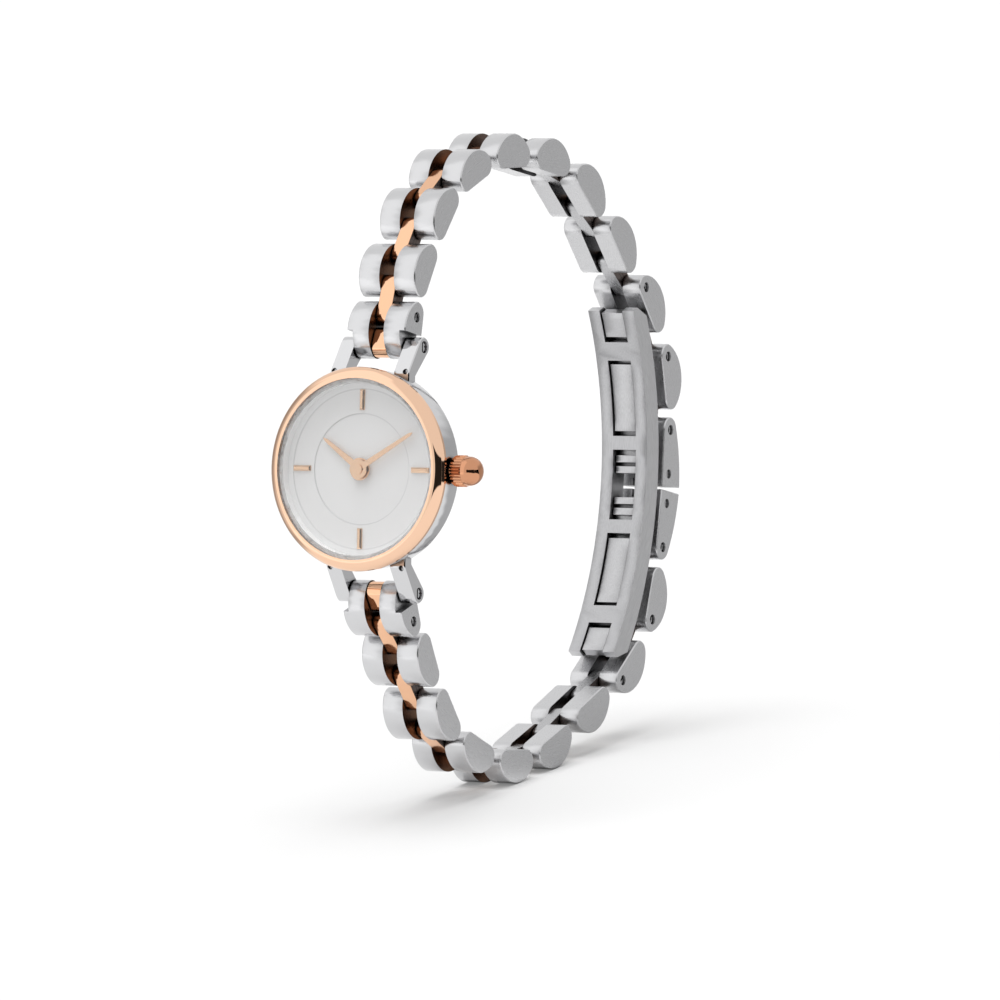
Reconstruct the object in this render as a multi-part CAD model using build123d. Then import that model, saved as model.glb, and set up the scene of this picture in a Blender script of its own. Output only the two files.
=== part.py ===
from build123d import *
import math
import os

# Sizes in mm. The dial faces -Y, twelve o'clock is up and the crown points along +X.
# Heights in the watch head are measured from the outer face of the case back towards the dial.

# Case middle, bezel and crystal
case_radius = 9.75
case_floor = 1.0
case_top = 3.95
case_back_bevel = 0.55
case_rim = 0.45
dial_bore_radius = case_radius - case_rim
gasket_seat_rim = 0.75
gasket_seat_radius = case_radius - gasket_seat_rim
gasket_width = 0.3
movement_bore_radius = gasket_seat_radius - gasket_width
gasket_depth = 0.15
bezel_overhang = 0.25
bezel_radius = case_radius + bezel_overhang
bezel_skirt_top = 4.15
bezel_edge_top = 4.45
bezel_crown_top = 5.02
bezel_crown_inset = 0.38
bezel_crown_radius = bezel_radius - bezel_crown_inset
bezel_lip_top = 5.25
bezel_rim = 1.12
crystal_radius = bezel_radius - bezel_rim
crystal_floor = 4.55
crystal_edge_top = 5.2
crystal_dome_top = 5.42
crystal_gasket_depth = 0.1
flange_width = 0.43
flange_radius = crystal_radius - flange_width
case_back_snap = 0.1
case_back_radius = movement_bore_radius - case_back_snap
case_back_clearance = 0.05
case_back_flange_radius = gasket_seat_radius - case_back_clearance
case_back_foot_inset = 0.9
case_back_foot_radius = case_back_flange_radius - case_back_foot_inset
case_back_flange_top = 1.0
case_back_bevel_top = 0.35
case_back_plug_top = 1.15

# Dial, markers, movement and hands
dial_clearance = 0.1
dial_radius = dial_bore_radius - dial_clearance
dial_face = 3.54
dial_depth = 0.4
dial_outer_width = 0.65
dial_outer_radius = flange_radius - dial_outer_width
dial_middle_width = 2.4
dial_inner_radius = dial_outer_radius - dial_middle_width
dial_inner_drop = 0.08
dial_outer_rise = 0.05
marker_gap = 0.05
marker_length = 2.0
marker_outer = dial_outer_radius - marker_gap
marker_inner = marker_outer - marker_length
marker_width = 0.52
marker_height = 0.28
marker_bevel = 0.14
movement_clearance = 0.1
movement_radius = movement_bore_radius - movement_clearance
movement_floor = 1.25
movement_top = 3.14
hour_hand_reach = 5.2
hour_hand_width = 0.72
hour_hand_floor = 3.72
hour_pipe_radius = 0.62
hour_pipe_floor = 2.7
hour_hub_radius = 1.1
hour_hand_angle = 305
minute_hand_gap = 1.39
minute_hand_reach = flange_radius - minute_hand_gap
minute_hand_width = 0.62
minute_hand_floor = 3.98
minute_post_radius = 0.36
minute_post_floor = 2.5
minute_hub_radius = 0.95
minute_hand_angle = 59
hand_depth = 0.15
hand_tip_width = 0.3
hand_cap_radius = 0.5
hand_cap_rise = 0.12
hand_clearance = 0.04
dial_hole_clearance = 0.12

# Crown and stem
crown_height = 2.55
crown_gap = 0.35
crown_start = case_radius + crown_gap
crown_knurl_length = 1.3
crown_knurl_end = crown_start + crown_knurl_length
crown_dome_length = 1.55
crown_tip = crown_knurl_end + crown_dome_length
crown_radius = 1.55
crown_rib_bevel = 0.15
crown_groove_radius = 1.38
crown_dome_radius = 1.44
crown_dome_rounding = 1.3
crown_groove_count = 28
crown_recess_radius = 0.7
crown_recess_depth = 1.1
crown_recess_end = crown_start + crown_recess_depth
crown_tube_radius = 0.56
crown_tube_bore = 0.39
crown_tube_seat = 0.8
crown_tube_start = case_radius - crown_tube_seat
crown_tube_reach = 0.75
crown_tube_end = case_radius + crown_tube_reach
stem_radius = 0.34
stem_start = 4.4
stem_cover = 0.95
stem_end = crown_tip - stem_cover
stem_clearance = 0.05
stem_bore_start = 3.2
stem_waist_radius = 0.26
stem_waist_start = 5.4
stem_waist_end = 6.0

# Lugs and the screws through them
lug_reach = 2.3
lug_screw_z = case_radius + lug_reach
lug_inner_x = 2.85
lug_outer_x = 4.55
lug_tip_radius = 0.95
lug_root_radius = 0.64
lug_root_height = 2.1
lug_bend_inset = 0.35
lug_bend_z = case_radius - lug_bend_inset
lug_root_inset = 1.45
lug_root_z = case_radius - lug_root_inset
lug_screw_radius = 0.42
lug_screw_head_radius = 0.47
lug_screw_head_depth = 0.45
lug_screw_inset = 0.2
lug_bore_clearance = 0.04
lug_dimple_radius = 0.28
lug_dimple_x = 4.1
lug_dimple_inset = 0.15
lug_dimple_z = case_radius - lug_dimple_inset

# Bracelet rows: row 1 hangs on the upper lugs, row 21 on the lower ones, the clasp joins 11 and 12
row_count = 21
upper_row_count = 11
growing_rows = 6
end_block_length = 5.7
short_block_length = 5.5
long_block_length = 6.8
meeting_block_length = 7.1
head_row_width = 6.7
clasp_row_width = 5.55
head_gap_width = 1.75
clasp_gap_width = 1.42
head_block_height = 3.2
clasp_block_height = 3.55
block_corner_radius = 1.2
block_edge_bevel = 0.1
pin_inset = 1.3
lug_pin_inset = 1.2
end_pin_inset = 1.55
pin_height = 1.25
pin_radius = 0.35
pin_cover = 0.55
press_clearance = 0.01
screw_head_radius = 0.39
screw_head_depth = 0.4
screw_head_clearance = 0.12
pin_end_inset = 0.25
slot_width = 0.18
slot_depth = 0.18
short_link_span = 3.35
long_link_span = 4.2
meeting_link_span = 3.4
link_end_radius = 0.9
link_side_clearance = 0.05
link_bore_clearance = 0.04
end_knuckle_half_width = 2.7
end_shoulder = 1.3
end_centre_radius = 1.1
end_centre_nose_radius = 0.9
end_centre_nose = 1.0
end_centre_clearance = 0.1
near_screw_rows = (9, 10, 11, 21)
far_screw_rows = (1, 12, 13, 14)
row_angles = (9.3, 29.0, 37.4, 64.9, 85.6, 96.7, 128.8, 137.6, 140.1, 166.6, 182.5,
              187.4, 196.0, 229.5, 243.8, 246.3, 270.6, 290.1, 321.2, 331.5, 338.9)
link_turns = (-2.8, -0.6, 1.0, -0.9, 0.3, -7.2, -9.7, -9.5, -1.9, 8.7, 0,
              -0.8, 2.0, 6.3, -3.6, 0.7, -2.2, -9.0, -6.2, -20.0)
back_rest_row_count = 16
front_rest_row_count = 17

# Folding clasp: a curved base and two arms that nest in its slot
clasp_row_gap = 0.42
base_inner_radius = 35.7
base_depth = 2.3
base_width = 5.35
base_arc_half = 18.1
base_end_bevel = 1.35
base_turn = -0.9
base_row_gap = 0.68
base_slot_width = 2.7
base_bar_depth = 0.6
base_end_bar_place = 13.72
base_end_bar_length = 1.95
base_mid_bar_place = 4.27
base_mid_bar_length = 1.4
base_hinge_place = 16.5
base_hinge_depth = 1.2
hinge_pin_radius = 0.35
hinge_pin_cover = 0.3
arm_width = 2.5
arm_depth = 1.0
arm_depth_inset = 0.95
arm_eye_radius = 0.85
arm_knuckle_half = 1.3
arm_knuckle_inset = 0.15
arm_pad_start = 5.45
arm_pad_end = 12.3
arm_pad_inset = 0.2
arm_rib_starts = (1.2, 2.3)
arm_rib_length = 0.7
arm_rib_inset = 0.45
arm_neck_width = 1.22
arm_neck_radius = 0.5
arm_free_end = 1.2
arm_bore_clearance = 0.04

# Every cut runs this far past the faces that it opens
overrun = 0.5


def disc(radius, low, high):
    """Round plate square to the dial between two heights."""
    return extrude(Plane.XZ.offset(low) * Circle(radius), amount=high - low)


def turned(points):
    """Solid turned about the dial's axis from points of radius and height."""
    outline = Polyline([(radius, -height) for radius, height in points], close=True)
    return revolve(make_face(outline), axis=Axis.Y)


def rod(radius, start, end):
    """Round bar along X."""
    return extrude(Plane.YZ.offset(start) * Circle(radius), amount=end - start)


def slab(outline, start, end):
    """Side outline given its thickness along X."""
    return extrude(Pos(start, 0, 0) * outline, amount=end - start, dir=(1, 0, 0))


def on_circle(circle, angle):
    """Point of a circle given as y, z and radius, at an angle from the Y axis."""
    y, z, radius = circle
    return (0, y + radius * math.cos(angle), z + radius * math.sin(angle))


def strap(first, second):
    """Side outline drawn tightly round two circles."""
    run_y = second[0] - first[0]
    run_z = second[1] - first[1]
    along = math.atan2(run_z, run_y)
    lean = math.acos((first[2] - second[2]) / math.hypot(run_y, run_z))
    start = on_circle(first, along + lean)
    turn = on_circle(second, along + lean)
    back = on_circle(second, along - lean)
    end = on_circle(first, along - lean)
    nose = on_circle(second, along)
    tail = on_circle(first, along + math.pi)
    return make_face([Line(start, turn), ThreePointArc(turn, nose, back),
                      Line(back, end), ThreePointArc(end, tail, start)])


def heading(angle):
    """Unit step of the chain, its angle counted from twelve o'clock towards the clasp."""
    turn = math.radians(angle)
    return (math.sin(turn), math.cos(turn))


def stepped(point, angle, distance):
    """Point reached from another along a heading."""
    step = heading(angle)
    return (point[0] + distance * step[0], point[1] + distance * step[1])


def rows_from_lug(number):
    """Place of a row counted from its own lugs."""
    return number if number <= upper_row_count else row_count + 1 - number


def taper(number, head, clasp):
    """Size that changes from the watch head to the clasp."""
    share = min(1, (rows_from_lug(number) - 1) / growing_rows)
    return head + (clasp - head) * share


def is_end_row(number):
    return rows_from_lug(number) == 1


def is_meeting_row(number):
    """Whether a row is one of the two that meet over the clasp."""
    return number in (upper_row_count, upper_row_count + 1)


def block_length(number):
    """Length of the two blocks of a row."""
    if is_end_row(number):
        return end_block_length
    if is_meeting_row(number):
        return meeting_block_length
    return taper(number, short_block_length, long_block_length)


def block_height(number):
    """Height of a row from its flat back to its dome."""
    return taper(number, head_block_height, clasp_block_height)


def near_inset(number):
    """Distance from the upper end of a row to its first pin."""
    if number == row_count:
        return end_pin_inset
    return lug_pin_inset if number == 1 else pin_inset


def far_inset(number):
    """Distance from the second pin of a row to its lower end."""
    if number == row_count:
        return lug_pin_inset
    return end_pin_inset if number == 1 else pin_inset


def pin_span(number):
    """Distance between the two pins of a row."""
    return block_length(number) - near_inset(number) - far_inset(number)


def row_half_width(number):
    return taper(number, head_row_width, clasp_row_width) / 2


def gap_half_width(number):
    return taper(number, head_gap_width, clasp_gap_width) / 2


def link_span(number):
    """Distance between the pins of the centre link that follows a row."""
    if is_meeting_row(number) or is_meeting_row(number + 1):
        return meeting_link_span
    this = taper(number, short_link_span, long_link_span)
    after = taper(number + 1, short_link_span, long_link_span)
    return (this + after) / 2


def bent(angles, upper_trim, lower_trim):
    """Row angles with the middle of each half of the bracelet turned a little."""
    trimmed = []
    for index, angle in enumerate(angles):
        number = index + 1
        upper = number <= upper_row_count
        rows = upper_row_count if upper else row_count - upper_row_count
        share = math.sin(math.pi * (rows_from_lug(number) - 1) / rows)
        trimmed.append(angle + share * (upper_trim if upper else lower_trim))
    return trimmed


def link_angle(number, angles):
    """Heading of the centre link that follows a row."""
    return (angles[number - 1] + angles[number]) / 2 + link_turns[number - 1]


def upper_pins(angles):
    """Pins of the rows from the upper lugs to the clasp, near and far pin of each."""
    far = (0, lug_screw_z)
    pins = []
    for index in range(upper_row_count):
        near = far
        if index:
            near = stepped(far, link_angle(index, angles), link_span(index))
        far = stepped(near, angles[index], pin_span(index + 1))
        pins.append((near, far))
    return pins


def lower_pins(angles):
    """Pins of the rows from the clasp to the lower lugs, laid out from the lugs back."""
    near = (0, -lug_screw_z)
    pins = []
    for index in reversed(range(upper_row_count, row_count)):
        far = near
        if index < row_count - 1:
            far = stepped(near, link_angle(index + 1, angles), -link_span(index + 1))
        near = stepped(far, angles[index], -pin_span(index + 1))
        pins.insert(0, (near, far))
    return pins


def clasp_error(angles):
    """How far the two halves miss each other at the clasp."""
    last = upper_pins(angles)[-1][1]
    first = lower_pins(angles)[0][0]
    middle = (angles[upper_row_count - 1] + angles[upper_row_count]) / 2
    want = stepped(last, middle, clasp_pin_span())
    return (first[0] - want[0], first[1] - want[1])


def clasp_pin_span():
    return pin_inset + pin_inset + clasp_row_gap


def closed_angles():
    """Row angles trimmed until the two halves of the bracelet meet at the clasp."""
    upper = 0
    lower = 0
    nudge = math.degrees(press_clearance / long_link_span)
    for attempt in range(row_count):
        miss = clasp_error(bent(row_angles, upper, lower))
        by_upper = clasp_error(bent(row_angles, upper + nudge, lower))
        by_lower = clasp_error(bent(row_angles, upper, lower + nudge))
        a = (by_upper[0] - miss[0]) / nudge
        b = (by_lower[0] - miss[0]) / nudge
        c = (by_upper[1] - miss[1]) / nudge
        d = (by_lower[1] - miss[1]) / nudge
        scale = a * d - b * c
        upper -= (d * miss[0] - b * miss[1]) / scale
        lower -= (a * miss[1] - c * miss[0]) / scale
    return bent(row_angles, upper, lower)


def block_arc(length, height):
    """Height of the centre, and radius, of the domed back of a block."""
    flat = length / 2 - block_corner_radius
    rise = height - block_corner_radius
    centre = (rise ** 2 - flat ** 2 - block_corner_radius ** 2) / (rise - block_corner_radius) / 2
    return centre, height - centre


def standing_lean(pins, angles):
    """Turn about X, in degrees, that sets both rest rows on one level."""
    spots = []
    for number in (back_rest_row_count, front_rest_row_count):
        near, far = pins[number - 1]
        centre, radius = block_arc(block_length(number), block_height(number))
        middle = ((near[0] + far[0]) / 2, (near[1] + far[1]) / 2)
        spots.append((stepped(middle, angles[number - 1] - 90, centre - pin_height), radius))
    (back, back_radius), (front, front_radius) = spots
    run_y = back[0] - front[0]
    run_z = back[1] - front[1]
    rise = math.asin((back_radius - front_radius) / math.hypot(run_y, run_z))
    return math.degrees(rise - math.atan2(run_z, run_y))


def bracelet_layout():
    """Angles and pins of all rows, and the lean of the standing watch."""
    angles = closed_angles()
    pins = upper_pins(angles) + lower_pins(angles)
    return angles, pins, standing_lean(pins, angles)


def clasp_place(angles, pins):
    """Middle of the clasp and its heading."""
    last = pins[upper_row_count - 1][1]
    first = pins[upper_row_count][0]
    turn = (angles[upper_row_count - 1] + angles[upper_row_count]) / 2 + base_turn
    return ((last[0] + first[0]) / 2, (last[1] + first[1]) / 2), turn


def set_at(shape, point, angle):
    """Shape moved from the chain's own axes to a pin and turned to a heading."""
    return Pos(0, point[0], point[1]) * Rot(-angle, 0, 0) * shape


def case_middle():
    """Case ring with its four lugs."""
    body = turned([(dial_bore_radius, case_top), (case_radius, case_top),
                   (case_radius, case_floor + case_back_bevel),
                   (case_radius - case_back_bevel, case_floor), (gasket_seat_radius, case_floor),
                   (gasket_seat_radius, case_floor + gasket_depth),
                   (movement_bore_radius, case_floor + gasket_depth),
                   (movement_bore_radius, dial_face - dial_depth),
                   (dial_bore_radius, dial_face - dial_depth)])
    root = (-lug_root_height, lug_root_z, lug_root_radius)
    bend = (-lug_root_height, lug_bend_z, lug_root_radius)
    tip = (0, lug_screw_z, lug_tip_radius)
    finger = slab(strap(root, bend), lug_inner_x, lug_outer_x) + slab(strap(bend, tip), lug_inner_x, lug_outer_x)
    finger = finger - disc(gasket_seat_radius, -overrun, case_top)
    finger = chamfer(finger.faces().sort_by(Axis.X)[-1].edges(), block_edge_bevel)
    dimple = Pos(lug_dimple_x, 0, lug_dimple_z) * disc(lug_dimple_radius, lug_root_height + lug_root_radius / 2,
                                                       case_top)
    bore = Pos(0, 0, lug_screw_z) * rod(lug_screw_radius + lug_bore_clearance, 0, lug_outer_x + overrun)
    head = Pos(0, 0, lug_screw_z) * rod(lug_screw_head_radius + screw_head_clearance,
                                        lug_outer_x - lug_screw_head_depth - lug_screw_inset,
                                        lug_outer_x + overrun)
    right = finger - dimple - bore - head
    left = mirror(finger - dimple - bore, about=Plane.YZ)
    for lug in (right, left):
        body = body + lug + mirror(lug, about=Plane.XY)
    tube_hole = Pos(0, -crown_height, 0) * rod(crown_tube_radius, movement_bore_radius - overrun,
                                               case_radius + overrun)
    return body - tube_hole


def bezel():
    """Polished ring with the flange that holds the crystal."""
    lip = (crystal_radius, -bezel_lip_top)
    crest = (bezel_crown_radius, -bezel_crown_top)
    rim = (bezel_radius, -bezel_edge_top)
    rest = [rim, (bezel_radius, -bezel_skirt_top), (case_radius, -case_top), (dial_bore_radius, -case_top),
            (dial_bore_radius, -dial_face), (flange_radius, -dial_face),
            (flange_radius, crystal_gasket_depth - crystal_floor),
            (crystal_radius, crystal_gasket_depth - crystal_floor), lip]
    return revolve(make_face([ThreePointArc(lip, crest, rim), Polyline(rest)]), axis=Axis.Y)


def dome_radius(half_width, rise):
    """Radius of the sphere that rises so far over a round base."""
    return (half_width ** 2 + rise ** 2) / rise / 2


def crystal():
    """Flat-backed glass with a slight dome."""
    ball = dome_radius(crystal_radius, crystal_dome_top - crystal_edge_top)
    return disc(crystal_radius, crystal_floor, crystal_dome_top) & (Pos(0, ball - crystal_dome_top, 0) * Sphere(ball))


def crystal_gasket():
    return turned([(flange_radius, crystal_floor), (crystal_radius, crystal_floor),
                   (crystal_radius, crystal_floor - crystal_gasket_depth),
                   (flange_radius, crystal_floor - crystal_gasket_depth)])


def case_back():
    """Snap-on back with the flat face that the watch is measured from."""
    return turned([(0, 0), (case_back_foot_radius, 0), (case_back_flange_radius, case_back_bevel_top),
                   (case_back_flange_radius, case_back_flange_top), (case_back_radius, case_back_flange_top),
                   (case_back_radius, case_back_plug_top), (0, case_back_plug_top)])


def back_gasket():
    return turned([(movement_bore_radius, case_floor), (gasket_seat_radius, case_floor),
                   (gasket_seat_radius, case_floor + gasket_depth),
                   (movement_bore_radius, case_floor + gasket_depth)])


def dial():
    """White disc, sunk in the middle, with a raised ring outside the markers."""
    floor = dial_face - dial_depth
    plate = turned([(hour_pipe_radius + dial_hole_clearance, floor), (dial_radius, floor),
                    (dial_radius, dial_face), (flange_radius, dial_face),
                    (flange_radius, dial_face + dial_outer_rise),
                    (dial_outer_radius, dial_face + dial_outer_rise), (dial_outer_radius, dial_face),
                    (dial_inner_radius, dial_face), (dial_inner_radius, dial_face - dial_inner_drop),
                    (hour_pipe_radius + dial_hole_clearance, dial_face - dial_inner_drop)])
    return plate


def hour_markers():
    """Four bevelled batons at twelve, three, six and nine."""
    baton = extrude(Plane.XZ.offset(dial_face) * Rectangle(marker_width, marker_outer - marker_inner),
                    amount=marker_height)
    baton = chamfer(baton.faces().sort_by(Axis.Y)[0].edges(), marker_bevel)
    baton = Pos(0, 0, (marker_inner + marker_outer) / 2) * baton
    return [Rot(0, quarter * 90, 0) * baton for quarter in range(4)]


def movement():
    """Quartz movement as a closed drum with its hand bore and stem bore."""
    body = disc(movement_radius, movement_floor, movement_top)
    body = body - disc(hour_pipe_radius + hand_clearance, hour_pipe_floor - hand_clearance,
                       movement_top + overrun)
    body = body - disc(minute_post_radius + hand_clearance, minute_post_floor - hand_clearance, movement_top)
    stem_bore = Pos(0, -crown_height, 0) * rod(stem_radius + stem_clearance, stem_bore_start,
                                               movement_radius + overrun)
    return body - stem_bore


def hand_blade(reach, width, floor):
    """Tapered hand pointing at twelve."""
    half = width / 2
    tip = hand_tip_width / 2
    outline = Polyline([(-tip, reach - half), (0, reach), (tip, reach - half), (half, 0), (-half, 0)], close=True)
    return extrude(Plane.XZ.offset(floor) * make_face(outline), amount=hand_depth)


def hour_hand():
    """Hour hand with the pipe that goes through the dial."""
    blade = hand_blade(hour_hand_reach, hour_hand_width, hour_hand_floor)
    hub = disc(hour_hub_radius, hour_hand_floor, hour_hand_floor + hand_depth)
    pipe = disc(hour_pipe_radius, hour_pipe_floor, hour_hand_floor + hand_depth)
    bore = disc(minute_post_radius + hand_clearance, hour_pipe_floor - overrun,
                hour_hand_floor + hand_depth + overrun)
    return Rot(0, hour_hand_angle, 0) * (blade + hub + pipe - bore)


def minute_hand():
    """Minute hand with its post and centre cap."""
    blade = hand_blade(minute_hand_reach, minute_hand_width, minute_hand_floor)
    top = minute_hand_floor + hand_depth
    hub = disc(minute_hub_radius, minute_hand_floor, top)
    cap = disc(hand_cap_radius, minute_hand_floor, top + hand_cap_rise)
    post = disc(minute_post_radius, minute_post_floor, top)
    return Rot(0, minute_hand_angle, 0) * (blade + hub + cap + post)


def crown_tube():
    tube = rod(crown_tube_radius, crown_tube_start, crown_tube_end)
    tube = tube - rod(crown_tube_bore, crown_tube_start - overrun, crown_tube_end + overrun)
    return Pos(0, -crown_height, 0) * tube


def crown():
    """Grooved crown with a domed end, hollow round the tube."""
    corners = []
    for step in range(crown_groove_count * 2):
        radius = crown_radius if step % 2 else crown_groove_radius
        angle = math.pi * step / crown_groove_count
        corners.append((radius * math.cos(angle), radius * math.sin(angle)))
    grip = extrude(Plane.YZ.offset(crown_start) * make_face(Polyline(corners, close=True)),
                   amount=crown_knurl_end - crown_start)
    blank = rod(crown_radius, crown_start, crown_knurl_end)
    grip = grip & chamfer(blank.edges().filter_by(GeomType.CIRCLE), crown_rib_bevel)
    dome = rod(crown_dome_radius, crown_knurl_end, crown_tip)
    dome = fillet(dome.edges().sort_by(Axis.X)[-1], crown_dome_rounding)
    knob = grip + dome
    knob = knob - rod(crown_recess_radius, crown_start - overrun, crown_recess_end)
    knob = knob - rod(stem_radius + hand_clearance, crown_start, stem_end + hand_clearance)
    return Pos(0, -crown_height, 0) * knob


def crown_stem():
    """Winding stem with the waist that the setting lever grips."""
    stem = rod(stem_radius, stem_start, stem_end)
    waist = rod(stem_radius + overrun, stem_waist_start, stem_waist_end)
    waist = waist - rod(stem_waist_radius, stem_waist_start - overrun, stem_waist_end + overrun)
    return Pos(0, -crown_height, 0) * (stem - waist)


def slotted(shaft_radius, start, end, head_radius, head_depth):
    """Screw along X with a slotted head at its far end."""
    shaft = rod(shaft_radius, start, end) + rod(head_radius, end - head_depth, end)
    slot = extrude(Plane.YZ.offset(end - slot_depth) * Rectangle(slot_width, head_radius * 2 + overrun),
                   amount=slot_depth + overrun)
    return shaft - slot


def lug_screws():
    """Upper lug screw, and the two ends of the lower one that stay in the lugs."""
    reach = lug_outer_x - lug_screw_inset
    upper = slotted(lug_screw_radius, -reach, reach, lug_screw_head_radius, lug_screw_head_depth)
    lower = slotted(lug_screw_radius, lug_inner_x + press_clearance, reach, lug_screw_head_radius,
                    lug_screw_head_depth)
    stub = rod(lug_screw_radius, -reach, -lug_inner_x - press_clearance)
    return [Pos(0, 0, lug_screw_z) * upper, Pos(0, 0, -lug_screw_z) * lower, Pos(0, 0, -lug_screw_z) * stub]


def domed(length, height):
    """Side outline, flat towards the wrist and domed outside, middle of the flat at the origin."""
    centre, radius = block_arc(length, height)
    flat = length / 2 - block_corner_radius
    aim_z = flat / (radius - block_corner_radius)
    aim_t = (block_corner_radius - centre) / (radius - block_corner_radius)
    soft = math.hypot(aim_z, aim_t - 1)

    def spot(z, t):
        return (0, -t, z)

    edges = [Line(spot(-flat, 0), spot(flat, 0))]
    for side in (1, -1):
        edges.append(ThreePointArc(
            spot(side * flat, 0),
            spot(side * (flat + block_corner_radius * aim_z / soft),
                 block_corner_radius + block_corner_radius * (aim_t - 1) / soft),
            spot(side * radius * aim_z, centre + radius * aim_t)))
    edges.append(ThreePointArc(spot(radius * aim_z, centre + radius * aim_t), spot(0, height),
                               spot(-radius * aim_z, centre + radius * aim_t)))
    return make_face(edges)


def block_outline(number):
    """Side of a block with its first pin at the origin. The two meeting rows are halves of one dome."""
    length = block_length(number)
    height = block_height(number)
    if not is_meeting_row(number):
        return Pos(0, pin_height, length / 2 - near_inset(number)) * domed(length, height)
    whole = length + length + clasp_row_gap
    window = Plane.YZ * Rectangle(height * 2, length)
    half = domed(whole, height) & (Pos(0, 0, (clasp_row_gap + length) / 2) * window)
    if number == upper_row_count:
        half = mirror(half, about=Plane.XY)
        return Pos(0, pin_height, whole / 2 - near_inset(number)) * half
    return Pos(0, pin_height, -clasp_row_gap / 2 - near_inset(number)) * half


def plain_block(number):
    """Right-hand block of a row before its holes are made."""
    block = slab(block_outline(number), gap_half_width(number), row_half_width(number))
    return chamfer(block.faces().sort_by(Axis.X)[-1].edges(), block_edge_bevel)


def narrowed(block):
    """End block cut back to fit between the lugs, round the lug screw."""
    reach = head_block_height + overrun
    corner = slab(strap((0, 0, end_shoulder), (0, -reach, end_shoulder)), end_knuckle_half_width,
                  head_row_width)
    for side in (1, -1):
        corner = corner + slab(strap((0, 0, end_shoulder), (side * reach, -reach, end_shoulder)),
                               end_knuckle_half_width, head_row_width)
        corner = corner + slab(strap((0, 0, end_shoulder), (side * reach, 0, end_shoulder)),
                               end_knuckle_half_width, head_row_width)
    return block - corner


def pin_kind(number, far):
    """Which fastener holds one end of a row."""
    if number in (far_screw_rows if far else near_screw_rows):
        return "screw"
    if (number == upper_row_count and far) or (number == upper_row_count + 1 and not far):
        return "through"
    return "hidden"


def row_pin(number, far):
    """Pin or screw of a row, and what it needs cut from the blocks."""
    half = row_half_width(number)
    kind = pin_kind(number, far)
    place = Pos(0, 0, pin_span(number) if far else 0)
    if kind == "screw":
        top = half - pin_end_inset
        pin = slotted(pin_radius, -half + pin_cover, top, screw_head_radius, screw_head_depth)
        hole = rod(pin_radius + press_clearance, -half + pin_cover, half + overrun)
        hole = hole + rod(screw_head_radius + screw_head_clearance, top - screw_head_depth, half + overrun)
    elif kind == "through":
        top = half - pin_end_inset
        pin = rod(pin_radius, -top, top)
        hole = rod(pin_radius + press_clearance, -half, half)
        hole = hole + rod(pin_radius + screw_head_clearance, top, half + overrun)
        hole = hole + rod(pin_radius + screw_head_clearance, -half - overrun, -top)
    else:
        pin = rod(pin_radius, -half + pin_cover, half - pin_cover)
        hole = rod(pin_radius + press_clearance, -half + pin_cover, half - pin_cover)
    return place * pin, place * hole


def row(number):
    """Both blocks of a row with its pins, first pin at the origin."""
    right = plain_block(number)
    pins = []
    holes = []
    for far in (False, True):
        pin, hole = row_pin(number, far)
        pins.append(pin)
        holes.append(hole)
    left = mirror(right, about=Plane.YZ)
    for hole in holes:
        right = right - hole
        left = left - hole
    return [right, left] + pins


def end_row():
    """Row that hangs between the lugs, lug screw at the origin and the bracelet towards +z."""
    right = narrowed(plain_block(1))
    left = mirror(right, about=Plane.YZ)
    pin, hole = row_pin(1, True)
    bore = rod(lug_screw_radius + lug_bore_clearance, -head_row_width, head_row_width)
    return [right - hole - bore, left - hole - bore, pin]


def centre_link(number):
    """Centre link that follows a row, its first pin at the origin."""
    span = link_span(number)
    gap = min(gap_half_width(number), gap_half_width(number + 1))
    half = gap - link_side_clearance
    link = slab(strap((0, 0, link_end_radius), (0, span, link_end_radius)), -half, half)
    for place in (0, span):
        link = link - Pos(0, 0, place) * rod(pin_radius + link_bore_clearance, -half - overrun, half + overrun)
    return link


def end_centre():
    """Short centre piece between the blocks of an end row."""
    half = head_gap_width / 2 - end_centre_clearance
    piece = slab(strap((0, 0, end_centre_radius), (0, end_centre_nose, end_centre_nose_radius)), -half, half)
    return piece - rod(lug_screw_radius + lug_bore_clearance, -half - overrun, half + overrun)


def lower_end(shapes):
    """End row pieces turned over for the lower lugs."""
    return [mirror(shape, about=Plane.XY) for shape in shapes]


def clasp_centre_y():
    """Where the clasp's arc is centred, below its pins."""
    return pin_height + base_row_gap + base_depth + base_inner_radius


def on_clasp(height, place):
    """Side point of the clasp at a height over its inner face and a length along it."""
    angle = place / base_inner_radius
    radius = base_inner_radius + height
    return (0, clasp_centre_y() - radius * math.cos(angle), radius * math.sin(angle))


def clasp_band(low, high, start, end):
    """Curved bar of the clasp between two heights and two lengths."""
    middle = (start + end) / 2
    return make_face([ThreePointArc(on_clasp(low, start), on_clasp(low, middle), on_clasp(low, end)),
                      Line(on_clasp(low, end), on_clasp(high, end)),
                      ThreePointArc(on_clasp(high, end), on_clasp(high, middle), on_clasp(high, start)),
                      Line(on_clasp(high, start), on_clasp(low, start))])


def base_corner():
    """Outer corner that is cut off the upper end of the clasp base."""
    return make_face(Polyline([on_clasp(base_depth + overrun, base_arc_half - base_end_bevel - overrun),
                               on_clasp(base_depth + overrun, base_arc_half + overrun),
                               on_clasp(base_depth - base_end_bevel - overrun, base_arc_half + overrun)],
                              close=True))


def clasp_circle(height, place, radius):
    """Circle of the clasp's side view, as y, z and radius."""
    point = on_clasp(height, place)
    return (point[1], point[2], radius)


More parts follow.
